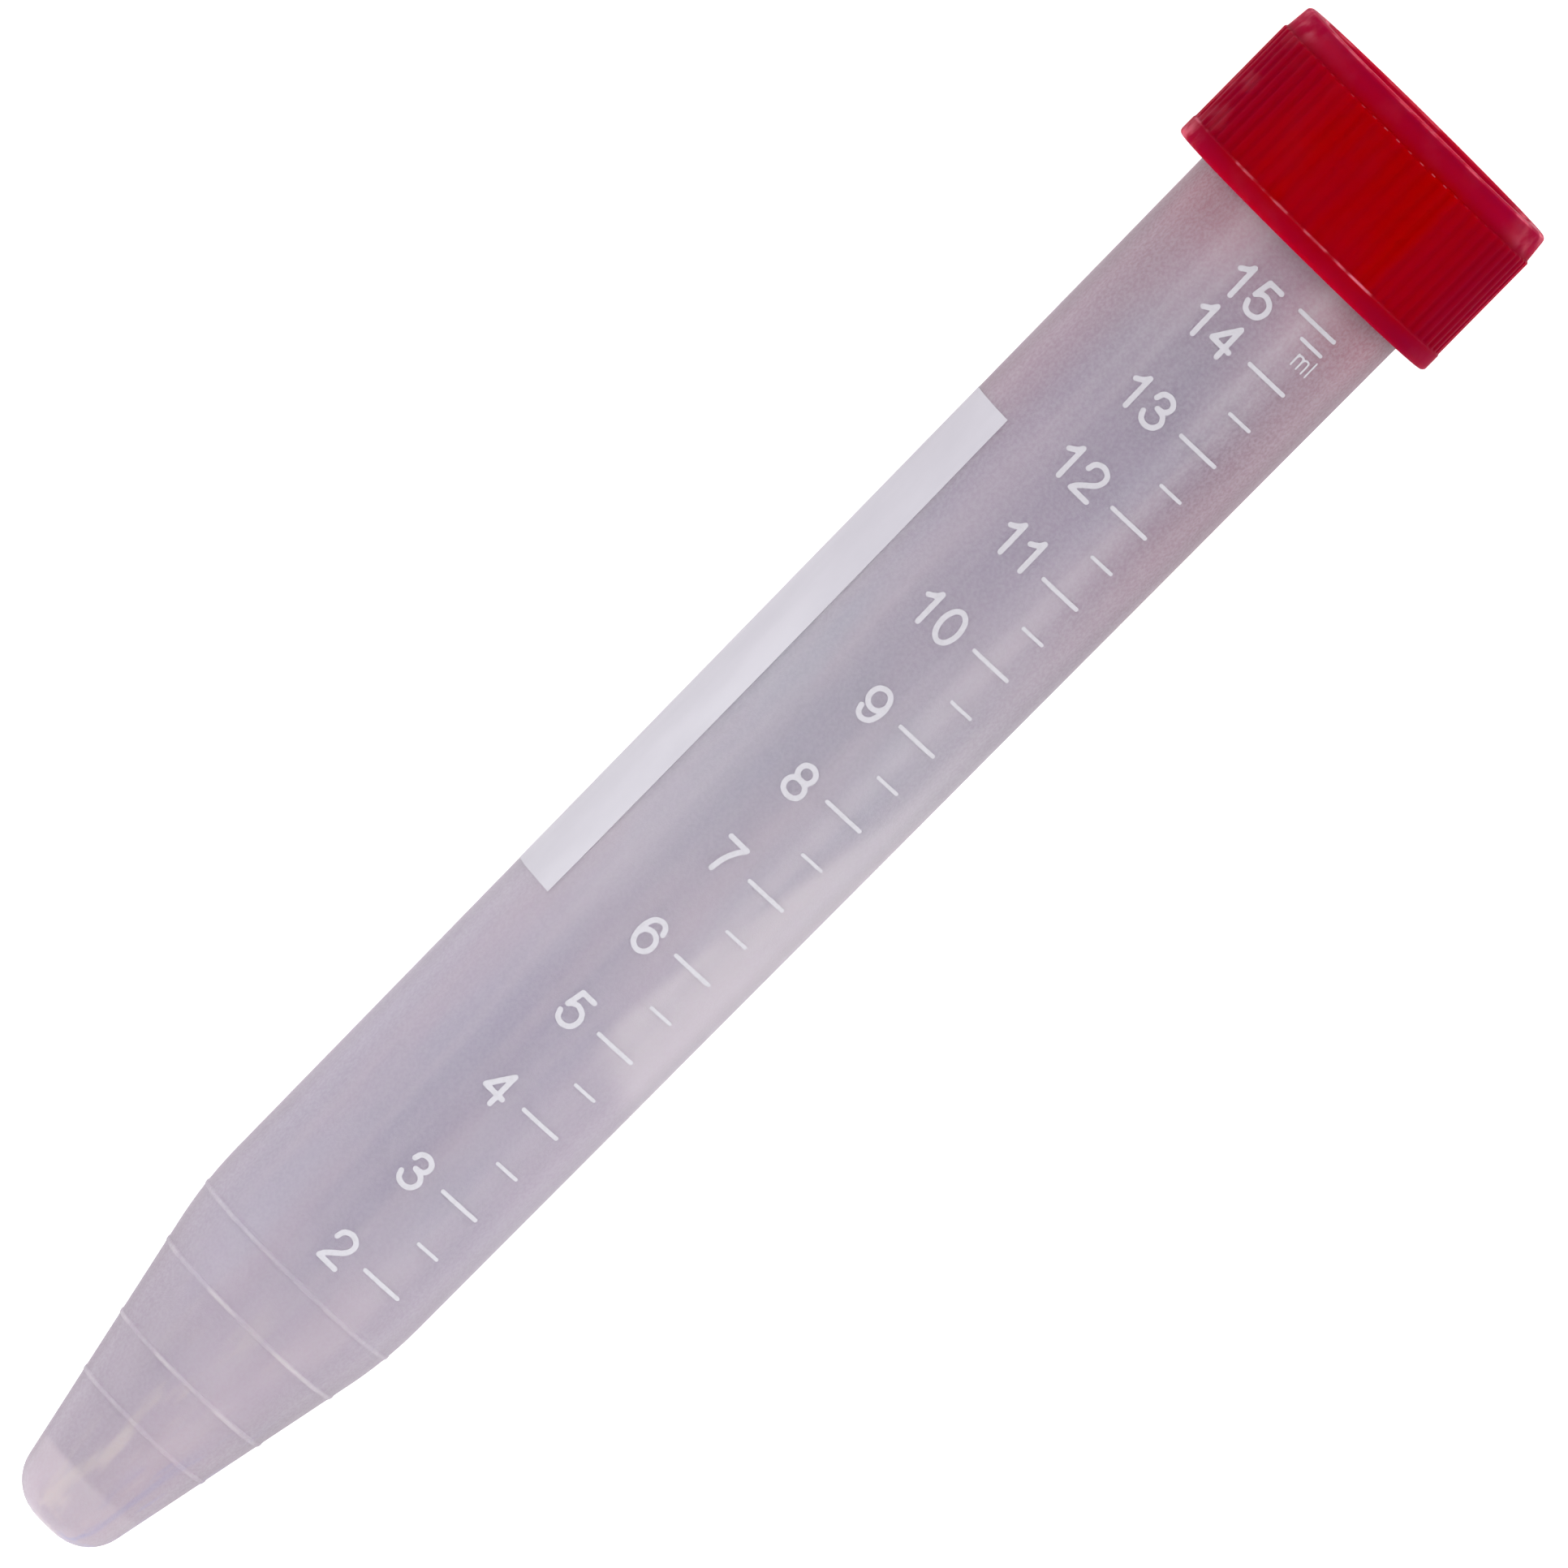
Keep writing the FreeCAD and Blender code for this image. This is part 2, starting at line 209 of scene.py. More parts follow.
class Port:
    """One socket of a material. Sums on it add Math nodes, and node() adds any other node."""

    def __init__(self, socket):
        self.socket = socket

    def node(self, kind, settings, sockets, out=0):
        """A node of that kind, with its settings set first and then its sockets."""
        tree = self.socket.id_data
        made = tree.nodes.new(kind)
        for name, setting in settings.items():
            if name == "stops":
                ramp = made.color_ramp.elements
                for element, (place, colour) in zip((ramp[0], ramp[1]), (setting[0], setting[-1])):
                    element.position, element.color = place, (*colour, 1)
                for place, colour in setting[1:-1]:
                    ramp.new(place).color = (*colour, 1)
            else:
                setattr(made, name, setting)
        for name, value in sockets.items():
            if isinstance(value, Port):
                tree.links.new(value.socket, made.inputs[name])
            else:
                made.inputs[name].default_value = value
        return Port(made.outputs[out])

    def sum(self, operation, first, second):
        return self.node("ShaderNodeMath", {"operation": operation}, {0: first, 1: second})

    def __add__(self, other):
        return self.sum("ADD", self, other)

    def __sub__(self, other):
        return self.sum("SUBTRACT", self, other)

    def __rsub__(self, other):
        return self.sum("SUBTRACT", other, self)

    def __mul__(self, other):
        return self.sum("MULTIPLY", self, other)

    def __truediv__(self, other):
        return self.sum("DIVIDE", self, other)

    __radd__, __rmul__ = __add__, __mul__

    def band(self, low, high, from_value=0.0, to_value=1.0):
        """Eases from one value to the other as this one goes from low to high."""
        return self.node("ShaderNodeMapRange", {"interpolation_type": "SMOOTHSTEP"}, {
            "Value": self, "From Min": low, "From Max": high,
            "To Min": from_value, "To Max": to_value})

    def blend(self, first, second):
        """A colour between two, with this value as the share of the second."""
        first, second = (end if isinstance(end, Port) else (*end, 1) for end in (first, second))
        return self.node("ShaderNodeMix", {"data_type": "RGBA"}, {
            MIX_FACTOR: self, MIX_FIRST: first, MIX_SECOND: second}, MIX_COLOUR)

    def clouds(self, scale, detail):
        """Noise over the place in this socket, scale to a metre."""
        return self.node("ShaderNodeTexNoise", {}, {
            "Vector": self, "Scale": scale, "Detail": detail})

    def vector(self, operation, other=(0, 0, 0), out="Vector"):
        """Vector maths on this vector and another."""
        return self.node("ShaderNodeVectorMath", {"operation": operation}, {0: self, 1: other}, out)

    def along(self, way):
        """How far this place lies in a direction."""
        return self.vector("DOT_PRODUCT", way, "Value")

    def ramp(self, stops):
        """The colour that this value picks from stops (value, colour)."""
        return self.node("ShaderNodeValToRGB", {"stops": stops}, {"Fac": self})

    def outward(self):
        """The way straight out from the tube's axis at this place."""
        arm = self.vector("SUBTRACT", lying.translation)
        return arm.vector("SUBTRACT", arm.vector("PROJECT", axis)).vector("NORMALIZE")

    def aside(self):
        """How far this place is to the side of the axis for the eye: 0 on it, 1 at the outline."""
        round_way = self.outward().vector("CROSS_PRODUCT", axis)
        incoming = self.node("ShaderNodeNewGeometry", {}, {}, "Incoming")
        return incoming.along(round_way).size()

    def size(self):
        """How big this value is, whatever its sign."""
        return self.sum("ABSOLUTE", self, 0.0)

    def stretched(self, share):
        """This place with each of its three axes multiplied."""
        return self.vector("MULTIPLY", share)

    def bump(self, strength, depth):
        """The normal of this height, with its depth in metres."""
        return self.node("ShaderNodeBump", {}, {
            "Height": self, "Strength": strength, "Distance": depth})


def finish(name, constants):
    """A material, its shader with the constants set, and the place on the piece in metres."""
    material = bpy.data.materials.new(name)
    material.use_nodes = True
    shader = material.node_tree.nodes["Principled BSDF"]
    for socket, value in constants.items():
        shader.inputs[socket].default_value = value
    coordinates = material.node_tree.nodes.new("ShaderNodeTexCoord")
    return material, shader, Port(coordinates.outputs["Object"])


def feed(shader, **ports):
    """Links ports to the shader's sockets, whose names have underscores for spaces here."""
    for name, port in ports.items():
        shader.id_data.links.new(port.socket, shader.inputs[name.replace("_", " ")])


milky, shader, place = finish("milky_polypropylene", {
    "Transmission Weight": 0.15,
    "IOR": 1.49,
    "Subsurface Weight": 1.0,
    "Subsurface Radius": (0.0030, 0.0026, 0.0030),
    "Subsurface Scale": 1.0,
    "Specular IOR Level": 0.2,
})
height = place.along(axis) - lying.translation.dot(axis)
share = height / (TUBE_LENGTH * MM)
aside, turn = place.aside(), place.outward().along(right)
body_tone = share.ramp([
    (0.008, (0.430, 0.365, 0.420)),
    (0.0315, (0.495, 0.430, 0.480)),  # the solid tip scatters more light
    (0.0340, (0.412, 0.348, 0.412)),
    (0.12, (0.425, 0.368, 0.445)),
    (0.19, (0.392, 0.352, 0.430)),
    (0.27, (0.353, 0.322, 0.402)),
    (0.36, (0.353, 0.324, 0.408)),
    (0.46, (0.403, 0.368, 0.433)),
    (0.60, (0.352, 0.338, 0.400)),
    (0.73, (0.300, 0.270, 0.345)),
    (0.79, (0.268, 0.240, 0.312)),
    (0.84, (0.272, 0.239, 0.298)),
    (0.875, (0.302, 0.225, 0.284)),
    (0.93, (0.440, 0.240, 0.290)),    # red light from the cap tints the top of the body
    (0.965, (0.420, 0.370, 0.430)),
])
# Painted shade: the colour that the body darkens to at its outline.
outline_shade_tone = share.ramp([              # the eye looks along more plastic at the outline
    (0.03, (0.27, 0.23, 0.27)),
    (0.12, (0.17, 0.14, 0.17)),
    (0.19, (0.26, 0.22, 0.27)),
    (0.30, (0.30, 0.26, 0.32)),
    (0.52, (0.29, 0.26, 0.30)),
    (0.63, (0.23, 0.19, 0.225)),
    (0.80, (0.17, 0.12, 0.15)),
])
drift = place.stretched((0.25, 1, 1)).clouds(150, 3).band(0.35, 0.68)
streaks = place.stretched((0.03, 1, 1)).clouds(420, 2).band(0.42, 0.75)
grain = place.clouds(4500, 2).band(0.25, 0.75)
tone = (drift * 0.30).blend(body_tone, (0.50, 0.38, 0.43))
tone = (streaks * 0.30).blend(tone, (0.56, 0.50, 0.54))
# Painted shade: a darker bluish band down the middle of the body as the eye sees it, growing towards
# the cap.
centre_shade = aside.band(0.05, 0.45, 1.0, 0.0) * share.band(0.25, 0.85, 0.04, 0.22)
tone = centre_shade.blend(tone, (0.20, 0.20, 0.28))
# Painted shade: the body darkens towards its outline as the eye sees it.
tone = aside.band(0.50, 1.10, 0.0, 0.75).blend(tone, outline_shade_tone)
# Painted light: red light from the cap tints the sides of the upper body pink, and the sides just
# below the cap red.
cap_light_pink = (turn.band(-0.3, 0.3) + share.band(0.80, 0.90)).blend((0.34, 0.22, 0.27), (0.27, 0.14, 0.175))
tone = (share.band(0.64, 0.80) * aside.band(0.30, 0.80, 0.0, 0.5)).blend(tone, cap_light_pink)
tone = (share.band(0.87, 0.925) * aside.band(0.25, 0.85, 0.0, 0.5)).blend(tone, (0.29, 0.08, 0.115))

# A painted reflection pales the right side half-way up, and the cone has pale and bluish
# streaks where the plastic flowed in.
pale_sheen = (turn - share.band(0.38, 0.60, 0.40, 0.80)).band(-0.04, 0.08) * turn.band(0.65, 1.0, 1.0, 0.5)
pale_sheen = pale_sheen * (share + turn * 0.035).band(0.385, 0.41) * share.band(0.53, 0.66, 1.0, 0.0)
pale_sheen = pale_sheen * place.outward().along(right.cross(axis)).band(-0.6, 0.1)
tone = (pale_sheen * (0.32 + drift * 0.2)).blend(tone, (0.60, 0.55, 0.58))
threads = place.stretched((0.05, 1, 1)).clouds(800, 2)
warm = threads.band(0.50, 0.72) * share.band(0.06, 0.20, 0.5, 0.0) * aside.band(0.3, 0.7, 1.0, 0.0)
tone = warm.blend(tone, (0.60, 0.53, 0.50))
cool = threads.band(0.46, 0.34) * turn.band(0.2, 0.6) * share.band(0.06, 0.14, 0.4, 0.0)
cool = cool + (turn - 0.67).size().band(0.01, 0.07, 0.38, 0.0) * share.band(0.05, 0.10, 1.0, 0.0)
tone = cool.blend(tone, (0.30, 0.29, 0.46))
# Painted shade: the left side of the cone is darker.
left = turn.band(0.0, -0.45, 0.0, 0.45) * share.band(0.033, 0.036) * share.band(0.12, 0.16, 1.0, 0.0)
tone = left.blend(tone, (0.31, 0.27, 0.33))
tone = (grain * 0.24).blend(tone, (0.50, 0.48, 0.53))
# Painted shade: a dark rim along the very outline, most on the upper body.
tone = (aside.band(0.86, 1.0) * share.band(0.60, 0.85, 0.26, 0.42)).blend(tone, (0.05, 0.02, 0.04))

# Painted highlights pale the crest of each ring in places, most towards the middle of the view.
glint_patches = place.stretched((0.2, 1, 1)).clouds(330, 3).band(0.42, 0.62) * aside.band(0.6, 1.0, 1.0, 0.3)
for mark, strength in zip(RING_MARKS, (0.16, 0.36, 0.40, 0.16)):
    crest = (height - (mark - 0.05) * MM).size().band(0.04 * MM, 0.20 * MM, strength, 0.0)
    tone = (crest * glint_patches).blend(tone, (0.66, 0.62, 0.63))
pits = place.clouds(9000, 2)
feed(shader, Base_Color=tone, Roughness=0.42 + drift * 0.08, Normal=pits.bump(0.3, 0.00003))

tube.data.materials.append(milky)
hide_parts("tube")
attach(tube, "tube_body")

# ---------------------------------------------------------------------------- printed scale
# The scale is white ink, screen-printed on the body: a long tick and a number for each
# millilitre, and a short tick between. The print leans a little round the tube towards the tip.

PRINT_ANGLE, PRINT_LEAN = 13.2, 4.25  # degrees right of the front: low down, and less at the top
LEAN_START, LEAN_END = 50.0, 107.0
INK_UP, INK_DOWN, INK_CELL = 0.02, 0.01, 0.07
TICK_START, HALF_TICK_START, TICK_END = 1.12, 2.46, 4.64
TICK_WIDTH, HALF_TICK_WIDTH = 0.28, 0.24
SCALE = {                             # ml: height of its tick, height of its number's middle
    2: (25.37, 25.25), 3: (32.14, 31.89), 4: (39.17, 39.14), 5: (45.68, 45.72), 6: (52.40, 52.17),
    7: (58.80, 58.90), 8: (65.57, 65.31), 9: (71.97, 71.85), 10: (78.43, 78.44), 11: (84.50, 84.98),
    12: (90.54, 90.80), 13: (96.61, 96.69), 14: (102.66, 102.68), 15: (107.14, 105.94)}
TOP_HALF_TICK = 105.96


def ink_film(name, cells):
    """A thin film on the tube, from cells that are lists of points (across, up) in mm. Across
    runs to the right of the print's own line, round the tube."""
    numbers, flat, edges, faces = {}, [], {}, []
    for cell in cells:
        loop = []
        for point in cell:
            key = (round(point[0], 4), round(point[1], 4))
            if key not in numbers:
                numbers[key] = len(flat)
                flat.append(point)
            if numbers[key] not in loop:
                loop.append(numbers[key])
        if len(loop) > 2:
            faces.append(loop)
            for start, end in zip(loop, loop[1:] + loop[:1]):
                edges[start, end] = edges.get((end, start)) is None
    verts = []
    for lift in (INK_UP, -INK_DOWN):
        for across, up in flat:
            lean = max(0.0, (up - LEAN_START) / (LEAN_END - LEAN_START))
            line = math.radians(PRINT_ANGLE - PRINT_LEAN * lean ** 2)
            radius = body_radius(up) + lift
            angle = line + across / body_radius(up)
            verts.append((radius * math.sin(angle), -radius * math.cos(angle), up))
    under = len(flat)
    rims = [(start, end) for start, end in edges if (end, start) not in edges]
    faces += [[under + number for number in reversed(loop)] for loop in faces]
    faces += [[end, start, start + under, end + under] for start, end in rims]
    return solid_mesh(name, verts, faces)


def reach_to(point, start, end):
    """Distance from a point to the straight between two others."""
    along = end - start
    share = (point - start).dot(along) / max(along.length_squared, 1e-12)
    return (point - start - along * min(max(share, 0.0), 1.0)).length


def stroke_cells(strokes, width):
    """Small cells that fill strokes of a width with round ends, where strokes are lists of
    points. The edge wavers a little, as ink does."""
    pieces = [(Vector(start), Vector(end)) for line in strokes for start, end in zip(line, line[1:])]
    ends = [end for piece in pieces for end in piece]
    left, low = (min(end[way] for end in ends) - width for way in (0, 1))
    columns = math.ceil((max(end.x for end in ends) + width - left) / INK_CELL) + 1
    rows = math.ceil((max(end.y for end in ends) + width - low) / INK_CELL) + 1
    depth = {}
    for column in range(columns):
        for row in range(rows):
            point = Vector((left + column * INK_CELL, low + row * INK_CELL))
            waver = 0.012 * noise.noise((point.x * 5, point.y * 5, 0))
            depth[column, row] = width / 2 + waver - min(reach_to(point, *ends) for ends in pieces)
    cells = []
    for column in range(columns - 1):
        for row in range(rows - 1):
            loop = []
            corners = [(column, row), (column + 1, row), (column + 1, row + 1), (column, row + 1)]
            for here, there in zip(corners, corners[1:] + corners[:1]):
                if depth[here] > 0:
                    loop.append((left + here[0] * INK_CELL, low + here[1] * INK_CELL))
                if (depth[here] > 0) != (depth[there] > 0):
                    share = depth[here] / (depth[here] - depth[there])
                    loop.append(tuple(start + (here[way] + (there[way] - here[way]) * share) * INK_CELL
                                      for way, start in ((0, left), (1, low))))
            if len(loop) > 2:
                cells.append(loop)
    return cells


def tick_cells(start, height, width):
    """One tick, from where it starts across the print to where every tick ends."""
    return stroke_cells([[(start + width / 2, height), (TICK_END - width / 2, height)]], width)


cells = tick_cells(HALF_TICK_START, TOP_HALF_TICK, HALF_TICK_WIDTH)
for volume, (height, _) in SCALE.items():
    cells += tick_cells(TICK_START, height, TICK_WIDTH)
    if volume < 14:
        cells += tick_cells(HALF_TICK_START, (height + SCALE[volume + 1][0]) / 2, HALF_TICK_WIDTH)
ticks = ink_film("scale_ticks", cells)

# The numbers, with each digit drawn along the middle of its strokes. The lines of a digit are
# straight where it gives two points, and flow through the points where it gives more.
DIGIT_HEIGHT, DIGIT_WIDTH, DIGIT_STROKE, DIGIT_GAP = 2.24, 1.36, 0.35, 0.65
DIGITS = {
    "0": [[(0.68, 2.26), (0.20, 1.94), (0.00, 1.12), (0.20, 0.30), (0.68, -0.02), (1.16, 0.30),
           (1.36, 1.12), (1.16, 1.94), (0.68, 2.26)]],
    "1": [[(0.68, 2.22), (0.68, 0.00)], [(0.68, 2.22), (0.44, 1.90), (0.00, 1.62)]],
    "2": [[(0.04, 1.58), (0.20, 2.04), (0.70, 2.26), (1.20, 2.04), (1.32, 1.60), (1.10, 1.12),
           (0.62, 0.70), (0.22, 0.32), (0.03, 0.00)], [(0.03, 0.00), (1.36, 0.00)]],
    "3": [[(0.06, 1.68), (0.24, 2.10), (0.68, 2.26), (1.10, 2.08), (1.24, 1.70), (1.02, 1.32),
           (0.56, 1.22)], [(0.56, 1.22), (1.12, 1.08), (1.36, 0.64), (1.14, 0.16), (0.66, -0.02),
           (0.20, 0.14), (0.00, 0.54)]],
    "4": [[(1.04, 0.00), (1.04, 2.22)], [(1.04, 2.22), (0.02, 0.72)], [(0.02, 0.68), (1.42, 0.68)]],
    "5": [[(1.24, 2.24), (0.30, 2.24)], [(0.30, 2.24), (0.08, 1.12)], [(0.08, 1.12), (0.34, 1.36),
           (0.72, 1.44), (1.18, 1.22), (1.36, 0.74), (1.16, 0.20), (0.66, -0.02), (0.20, 0.12),
           (0.00, 0.54)]],
    "6": [[(1.28, 1.68), (1.12, 2.10), (0.74, 2.26), (0.28, 2.04), (0.05, 1.52), (0.00, 0.92),
           (0.18, 0.26), (0.68, -0.02), (1.18, 0.20), (1.36, 0.72), (1.18, 1.22), (0.70, 1.42),
           (0.24, 1.22), (0.02, 0.80)]],
    "7": [[(0.00, 2.22), (1.34, 2.22)], [(1.34, 2.22), (0.92, 1.62), (0.60, 0.86), (0.46, 0.00)]],
    "8": [[(0.68, 2.26), (0.26, 2.08), (0.12, 1.70), (0.26, 1.32), (0.68, 1.17), (1.10, 1.32),
           (1.24, 1.70), (1.10, 2.08), (0.68, 2.26)],
          [(0.68, 1.20), (0.18, 1.02), (0.00, 0.60), (0.18, 0.16), (0.68, -0.02), (1.18, 0.16),
           (1.36, 0.60), (1.18, 1.02), (0.68, 1.20)]],
}
DIGITS["9"] = [[(DIGIT_WIDTH - across, DIGIT_HEIGHT - up) for across, up in DIGITS["6"][0]]]


def flowing(points, steps=6):
    """A smooth line through points. It closes on itself where the first is also the last."""
    if len(points) == 2:
        return points
    points = [Vector(point) for point in points]
    closed = (points[0] - points[-1]).length < 1e-6
    before = points[-2] if closed else points[0] * 2 - points[1]
    after = points[1] if closed else points[-1] * 2 - points[-2]
    chain, line = [before, *points, after], []
    for first, start, end, last in zip(chain, chain[1:], chain[2:], chain[3:]):
        for step in range(steps):
            share = step / steps
            line.append(start + ((end - first) * share + (2 * first - 5 * start + 4 * end - last)
                                 * share ** 2 + (3 * start - first - 3 * end + last)
                                 * share ** 3) / 2)
    return line + [points[-1]]


cells = []
for volume, (_, height) in SCALE.items():
    edge = 0.0
    for digit in reversed(str(volume)):
        width = max(point[0] for line in DIGITS[digit] for point in line)
        foot = Vector((edge - DIGIT_STROKE / 2 - width, height - DIGIT_HEIGHT / 2))
        lines = [[Vector(point) + foot for point in flowing(line)] for line in DIGITS[digit]]
        cells += stroke_cells(lines, DIGIT_STROKE)
        edge = foot.x - DIGIT_STROKE / 2 - DIGIT_GAP
numbers = ink_film("scale_numbers", cells)

# The unit stands below the highest short tick in thin small letters.
UNIT_LEFT, UNIT_FOOT, UNIT_STROKE = 3.25, 104.37, 0.14
letters = [
    [(0.00, 0.00), (0.00, 0.80)],
    [(0.00, 0.62), (0.14, 0.78), (0.34, 0.80), (0.50, 0.66), (0.52, 0.00)],
    [(0.52, 0.62), (0.66, 0.78), (0.88, 0.80), (1.02, 0.66), (1.04, 0.00)],
    [(1.46, 0.00), (1.46, 1.08)],
]
corner = Vector((UNIT_LEFT, UNIT_FOOT))
lines = [[Vector(point) + corner for point in flowing(line)] for line in letters]
unit = ink_film("scale_unit", stroke_cells(lines, UNIT_STROKE))

ink, shader, place = finish("white_screen_ink", {
    "Specular IOR Level": 0.3,
})
cover = place.clouds(2600, 3).band(0.30, 0.60)
specks = place.clouds(12000, 2)
tone = cover.blend((0.495, 0.485, 0.52), (0.525, 0.515, 0.555))
height = place.along(axis) - lying.translation.dot(axis)
tone = height.band(0.03, 0.11, 0.0, 0.30).blend(tone, (0.30, 0.27, 0.30))
feed(shader, Base_Color=tone, Roughness=0.62 - cover * 0.1, Normal=specks.bump(0.3, 0.00001))
for piece in (ticks, numbers, unit):
    piece.visible_shadow = False      # so thin a film takes no light from the plastic round it
    piece.data.materials.append(ink)
    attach(piece, "tube_body")

# -------------------------------------------------------------------------- writing patch
# The patch to write on is a plain field of the same ink with more matting agent in it. It is
# printed in the same pass as the scale, and goes round the left side of the body.

PATCH_LOW, PATCH_HIGH, PATCH_RIGHT, PATCH_WIDTH = 49.6, 89.8, -7.6, 15.2
PATCH_COLUMNS, PATCH_ROWS = 60, 40

lines = [[(PATCH_RIGHT - PATCH_WIDTH * column / PATCH_COLUMNS,
           PATCH_LOW + (PATCH_HIGH - PATCH_LOW) * row / PATCH_ROWS)
          for row in range(PATCH_ROWS + 1)] for column in range(PATCH_COLUMNS, -1, -1)]
cells = [[lines[column][row], lines[column + 1][row], lines[column + 1][row + 1],
          lines[column][row + 1]]
         for column in range(PATCH_COLUMNS) for row in range(PATCH_ROWS)]
patch = ink_film("writing_patch", cells)

matt, shader, place = finish("matt_patch_ink", {
    "Specular IOR Level": 0.2,
})
thin = place.stretched((0.4, 1, 1)).clouds(260, 4).band(0.30, 0.70)
tooth = place.clouds(14000, 3)
tone = thin.blend((0.465, 0.45, 0.495), (0.505, 0.49, 0.535))
# Painted shade: the patch darkens towards the outline as the eye sees it.
tone = place.aside().band(0.65, 1.10, 0.0, 0.45).blend(tone, (0.28, 0.26, 0.29))
height = place.along(axis) - lying.translation.dot(axis)
tone = height.band(0.06, 0.09, 0.0, 0.12).blend(tone, (0.30, 0.26, 0.31))
feed(shader, Base_Color=tone, Roughness=0.85 - thin * 0.1, Normal=tooth.bump(0.5, 0.00001))
patch.visible_shadow = False
patch.data.materials.append(matt)
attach(patch, "tube_body")

# -------------------------------------------------------------------------------------- cap
# The screw cap is one moulding in red polyethylene: a skirt with 64 grip ribs over a plain ring,
# a top with a shallow recess and a gate dimple, a thread in the bore and a plug for the mouth.

PLATE, BORE_CLEARANCE, LEAD_IN = 1.6, 1.05, 0.4
PLUG_CLEARANCE, PLUG_WALL, PLUG_DEPTH, PLUG_TAPER = 0.12, 0.8, 2.4, 0.35
SKIRT_WALL, SKIRT_RING, SKIRT_ROUND = 1.2, 1.4, 0.3
RIB_STEP, RIB_COUNT, GROOVE_DEPTH, GROOVE_FLOOR, GROOVE_MOUTH = 0.05, 64, 0.06, 0.16, 0.70
BAND_HEIGHT, BAND_STEP, BAND_TAPER, TOP_ROUND = 1.8, 0.14, 0.18, 0.35
TOP_RIM, RECESS, GATE_RADIUS, GATE_DEPTH = 1.18, 0.35, 1.1, 0.25
CAP_THREAD_START, CAP_THREAD_TURNS = NECK_THREAD_START - PITCH / 2, 2.2

bore = neck_radius + BORE_CLEARANCE
plug = mouth_radius - PLUG_CLEARANCE
skirt = bore + SKIRT_WALL
crest = skirt - RIB_STEP
band = crest - BAND_STEP
top_edge = band - BAND_TAPER
recess = top_edge - TOP_RIM
seat, top = CAP_BASE + SEAT_HEIGHT, CAP_BASE + SEAT_HEIGHT + PLATE
ring_top, rib_end, plug_end = CAP_BASE + SKIRT_RING, top - BAND_HEIGHT, seat - PLUG_DEPTH
EDGE, CRISP_EDGE, RING_ROOT = 0.06, 0.03, 0.02  # the small rounds that any moulding has
RING_SLOPE, BAND_SLOPE = 0.10, 0.14   # height of the slopes from the ring and the band to the grip

under_plate = outline([
    (0, seat, 0),
    (plug - PLUG_WALL, seat, 0.3),
    (plug - PLUG_WALL, plug_end, EDGE),
    (plug - PLUG_TAPER, plug_end, EDGE),
    (plug, plug_end + PLUG_DEPTH / 2, 0.4),
    (plug, seat, EDGE),
    (bore, seat, EDGE),
    (bore, seat - 0.3, 0),
])
thread_rows = outline([(bore, seat - 0.4, 0), (bore, CAP_BASE + LEAD_IN + 0.1, 0)], row=0.22)
around_skirt = outline([
    (bore, CAP_BASE + LEAD_IN + 0.05, 0),
    (bore, CAP_BASE + LEAD_IN, CRISP_EDGE),
    (bore + LEAD_IN, CAP_BASE, EDGE),
    (skirt, CAP_BASE, SKIRT_ROUND),
    (skirt, ring_top - RING_SLOPE, CRISP_EDGE),
    (crest, ring_top, RING_ROOT),
    (crest, ring_top + 0.10, 0),
    (crest, rib_end - BAND_SLOPE, CRISP_EDGE),
    (band, rib_end, CRISP_EDGE),
    (top_edge, top, TOP_ROUND),
    (recess, top, EDGE),
    (recess - RECESS, top - RECESS, EDGE),
    (GATE_RADIUS, top - RECESS, EDGE),
    (GATE_RADIUS, top - RECESS - GATE_DEPTH, EDGE),
    (0, top - RECESS - GATE_DEPTH, 0),
])
rib_angle = 2 * math.pi / RIB_COUNT


def cap_shape(angle, radius, height):
    """Cuts the grip grooves into the outside of the skirt and adds the thread to its bore."""
    if abs(radius - bore) < 1e-4 and height < seat - 0.35:
        return radius - thread_rise(angle, height, CAP_THREAD_START, CAP_THREAD_TURNS)
    if radius < band - 0.02 or height > rib_end or height < ring_top:
        return radius
    off = abs((angle + rib_angle / 2) % rib_angle - rib_angle / 2) * radius
    cut = smooth((GROOVE_MOUTH / 2 - off) / ((GROOVE_MOUTH - GROOVE_FLOOR) / 2))
    ends = smooth((height - ring_top) / 0.09) * smooth((rib_end - height) / 0.10)
    return radius - GROOVE_DEPTH * cut * ends


rib_places = [place / crest for place in (-0.29, -0.20, -0.125, 0.0, 0.125, 0.20, 0.29)]
rib_places.append(rib_angle / 2)
groove_steps = [rib * rib_angle + place for rib in range(RIB_COUNT) for place in rib_places]
cap = turned("cap_moulding", under_plate + thread_rows + around_skirt, groove_steps, cap_shape)

red, shader, place = finish("red_polyethylene", {
    "IOR": 1.51,
    "Subsurface Weight": 1.0,
    "Subsurface Radius": (0.0030, 0.0002, 0.0004),
    "Subsurface Scale": 1.0,
    "Specular IOR Level": 0.002,
})
height = place.along(axis) - lying.translation.dot(axis)
outward, aside = place.outward(), place.aside()
turn = outward.along(right)
flow = place.stretched((0.35, 1, 1)).clouds(330, 4).band(0.34, 0.66)
streaks = place.stretched((0.06, 1, 1)).clouds(900, 2).band(0.45, 0.75)
tone = flow.blend((0.275, 0.000, 0.000), (0.258, 0.000, 0.004))
tone = (streaks * 0.2).blend(tone, (0.30, 0.000, 0.006))
# Painted shade: the cap darkens towards its outline as the eye sees it.
tone = aside.band(0.35, 1.15).blend(tone, (0.105, 0.000, 0.0085))
